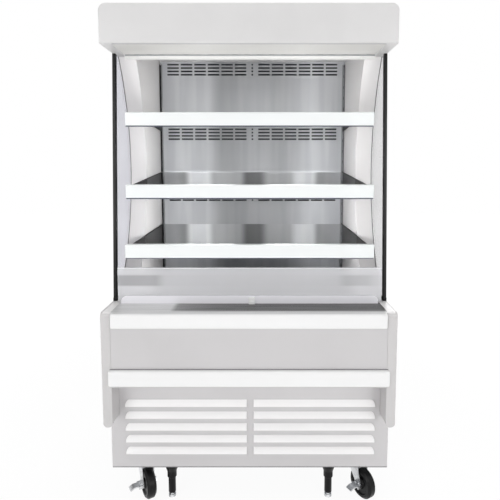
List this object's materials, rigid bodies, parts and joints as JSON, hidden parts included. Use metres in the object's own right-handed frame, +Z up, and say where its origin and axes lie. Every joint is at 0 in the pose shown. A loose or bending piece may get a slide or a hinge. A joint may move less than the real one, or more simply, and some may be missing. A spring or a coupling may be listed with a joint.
{
  "type": "open multideck display fridge",
  "caption": "Open-front refrigerated display cabinet on casters: canopy, sloping shelves with price rails, clear side panes, front guard, bumpers and a louvred machine compartment.",
  "frame": {"origin": "on the floor under the middle of the cabinet", "axes": "+Z up, +X to the right of someone facing the shelves, -Y out of the open front"},
  "size_m": [0.92, 0.737, 1.625],
  "materials": {
    "grey_painted_steel": "satin",
    "foamed_wall": "satin",
    "canopy_paint": "satin",
    "stainless": "brushed",
    "galvanised": "matt",
    "white_plastic": "satin",
    "black_plastic": "satin",
    "black_steel": "satin",
    "clear_acrylic": "gloss",
    "lamp_plastic": "gloss",
    "coil_aluminium": "matt",
    "zinc": "satin",
    "chrome": "polished",
    "tread": "satin"
  },
  "bodies": {
    "cabinet": {"end_wall_left": "foamed_wall", "end_wall_right": "foamed_wall", "rear_wall": "foamed_wall", "base_tub": "foamed_wall", "roof_panel": "foamed_wall", "canopy_shell": "canopy_paint", "canopy_soffit": "canopy_paint", "air_honeycomb": "white_plastic", "ceiling_liner": "canopy_paint", "lamp_diffuser": "lamp_plastic", "back_duct_panel": "stainless", "shelf_standards": "stainless", "return_grille": "stainless", "sill_cap": "stainless", "guard_rail": "clear_acrylic", "front_guard": "clear_acrylic", "guard_catch": "white_plastic", "front_panel": "grey_painted_steel", "bumper_upper": "white_plastic", "bumper_lower": "white_plastic", "side_pane_left": "clear_acrylic", "side_pane_right": "clear_acrylic", "pane_trims": "black_plastic", "louvre_panel": "grey_painted_steel", "chassis_tray": "galvanised", "rear_grille": "grey_painted_steel", "compressor": "black_steel", "condenser_coil": "coil_aluminium", "condenser_shroud": "galvanised", "drain_pan": "black_plastic", "control_box": "galvanised", "evaporator_coil": "coil_aluminium", "evap_fan_plate": "galvanised", "caster_plates": "zinc", "leg_sleeves": "black_plastic"},
    "shelf_lower": {"shelf_pan_lower": "stainless", "shelf_brackets_lower": "black_steel", "price_rail_lower": "white_plastic"},
    "shelf_middle": {"shelf_pan_middle": "stainless", "shelf_brackets_middle": "black_steel", "price_rail_middle": "white_plastic"},
    "shelf_upper": {"shelf_pan_upper": "stainless", "shelf_brackets_upper": "black_steel", "price_rail_upper": "white_plastic"},
    "deck": {"deck_pan": "stainless"},
    "condenser_fan_rotor": {"condenser_fan": "black_plastic"},
    "evap_fan_left_rotor": {"evap_fan_left": "black_plastic"},
    "evap_fan_right_rotor": {"evap_fan_right": "black_plastic"},
    "fork_front_left": {"caster_fork_front_left": "zinc"},
    "wheel_front_left": {"caster_wheel_front_left": "tread"},
    "fork_rear_left": {"caster_fork_rear_left": "zinc"},
    "wheel_rear_left": {"caster_wheel_rear_left": "tread"},
    "brake_left": {"brake_lever_left": "zinc"},
    "foot_left": {"leg_foot_left": "chrome"},
    "fork_front_right": {"caster_fork_front_right": "zinc"},
    "wheel_front_right": {"caster_wheel_front_right": "tread"},
    "fork_rear_right": {"caster_fork_rear_right": "zinc"},
    "wheel_rear_right": {"caster_wheel_rear_right": "tread"},
    "brake_right": {"brake_lever_right": "zinc"},
    "foot_right": {"leg_foot_right": "chrome"}
  },
  "joints": [
    {"name": "shelf_lower_lift", "type": "hinge", "parent": "cabinet", "child": "shelf_lower", "pos_m": [0, 0.243, 0.88], "axis": [-1, 0, 0], "range_deg": [0, 10]},
    {"name": "shelf_middle_lift", "type": "hinge", "parent": "cabinet", "child": "shelf_middle", "pos_m": [0, 0.243, 1.105], "axis": [-1, 0, 0], "range_deg": [0, 10]},
    {"name": "shelf_upper_lift", "type": "hinge", "parent": "cabinet", "child": "shelf_upper", "pos_m": [0, 0.243, 1.33], "axis": [-1, 0, 0], "range_deg": [0, 10]},
    {"name": "deck_lift", "type": "hinge", "parent": "cabinet", "child": "deck", "pos_m": [0, 0.2535, 0.6015], "axis": [-1, 0, 0], "range_deg": [0, 20]},
    {"name": "condenser_fan_spin", "type": "hinge", "parent": "cabinet", "child": "condenser_fan_rotor", "pos_m": [-0.17, -0.149, 0.258], "axis": [0, 1, 0], "continuous": true},
    {"name": "evap_fan_left_spin", "type": "hinge", "parent": "cabinet", "child": "evap_fan_left_rotor", "pos_m": [-0.175, -0.1, 0.54075], "axis": [0, 1, 0], "continuous": true},
    {"name": "evap_fan_right_spin", "type": "hinge", "parent": "cabinet", "child": "evap_fan_right_rotor", "pos_m": [0.175, -0.1, 0.54075], "axis": [0, 1, 0], "continuous": true},
    {"name": "caster_front_left_swivel", "type": "hinge", "parent": "cabinet", "child": "fork_front_left", "pos_m": [-0.368, -0.217, 0.1], "axis": [0, 0, 1], "continuous": true},
    {"name": "caster_front_left_roll", "type": "hinge", "parent": "fork_front_left", "child": "wheel_front_left", "pos_m": [-0.34946, -0.24786, 0.05], "axis": [0.8572, 0.515, 0], "continuous": true},
    {"name": "caster_rear_left_swivel", "type": "hinge", "parent": "cabinet", "child": "fork_rear_left", "pos_m": [-0.368, 0.285, 0.1], "axis": [0, 0, 1], "continuous": true},
    {"name": "caster_rear_left_roll", "type": "hinge", "parent": "fork_rear_left", "child": "wheel_rear_left", "pos_m": [-0.34946, 0.25414, 0.05], "axis": [0.8572, 0.515, 0], "continuous": true},
    {"name": "brake_left_press", "type": "hinge", "parent": "fork_front_left", "child": "brake_left", "pos_m": [-0.37603, -0.26382, 0.05], "axis": [0.515, -0.8572, 0], "range_deg": [0, 18]},
    {"name": "foot_left_screw", "type": "slide", "parent": "cabinet", "child": "foot_left", "axis": [0, 0, 1], "range_m": [-0.002, 0.005]},
    {"name": "caster_front_right_swivel", "type": "hinge", "parent": "cabinet", "child": "fork_front_right", "pos_m": [0.368, -0.217, 0.1], "axis": [0, 0, 1], "continuous": true},
    {"name": "caster_front_right_roll", "type": "hinge", "parent": "fork_front_right", "child": "wheel_front_right", "pos_m": [0.38654, -0.24786, 0.05], "axis": [0.8572, 0.515, 0], "continuous": true},
    {"name": "caster_rear_right_swivel", "type": "hinge", "parent": "cabinet", "child": "fork_rear_right", "pos_m": [0.368, 0.285, 0.1], "axis": [0, 0, 1], "continuous": true},
    {"name": "caster_rear_right_roll", "type": "hinge", "parent": "fork_rear_right", "child": "wheel_rear_right", "pos_m": [0.38654, 0.25414, 0.05], "axis": [0.8572, 0.515, 0], "continuous": true},
    {"name": "brake_right_press", "type": "hinge", "parent": "fork_front_right", "child": "brake_right", "pos_m": [0.35997, -0.26382, 0.05], "axis": [0.515, -0.8572, 0], "range_deg": [0, 18]},
    {"name": "foot_right_screw", "type": "slide", "parent": "cabinet", "child": "foot_right", "axis": [0, 0, 1], "range_m": [-0.002, 0.005]}
  ]
}
